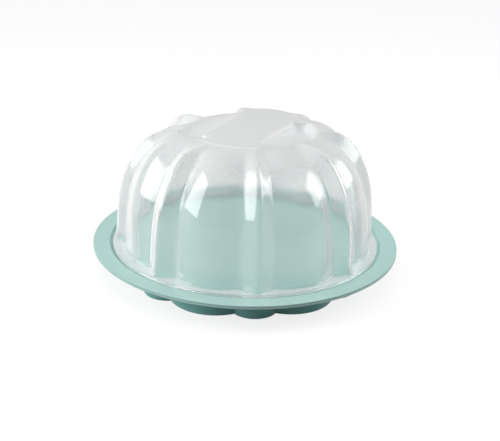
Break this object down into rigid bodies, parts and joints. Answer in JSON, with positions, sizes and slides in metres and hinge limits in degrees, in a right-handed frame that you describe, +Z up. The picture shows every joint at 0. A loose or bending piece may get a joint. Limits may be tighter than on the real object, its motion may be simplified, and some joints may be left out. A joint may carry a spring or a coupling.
{
  "type": "cake keeper",
  "caption": "Round cake keeper: a clear fluted dome cover with a grip bar between finger pockets stands in the channel of a rimmed tray on a lobed foot.",
  "frame": {"origin": "on the axis of the tray, at the level its foot stands on", "axes": "+Z up along the axis; -Y is the front, where a ridge of the cover points"},
  "size_m": [0.34, 0.34, 0.1596],
  "materials": {
    "mint_plastic": "satin",
    "clear_plastic": "gloss"
  },
  "bodies": {
    "tray": {"base_tray": "mint_plastic"},
    "cover": {"dome_cover": "clear_plastic"}
  },
  "joints": [
    {"name": "cover_lift", "type": "slide", "parent": "tray", "child": "cover", "axis": [0, 0, 1], "range_m": [0, 0.2]}
  ]
}
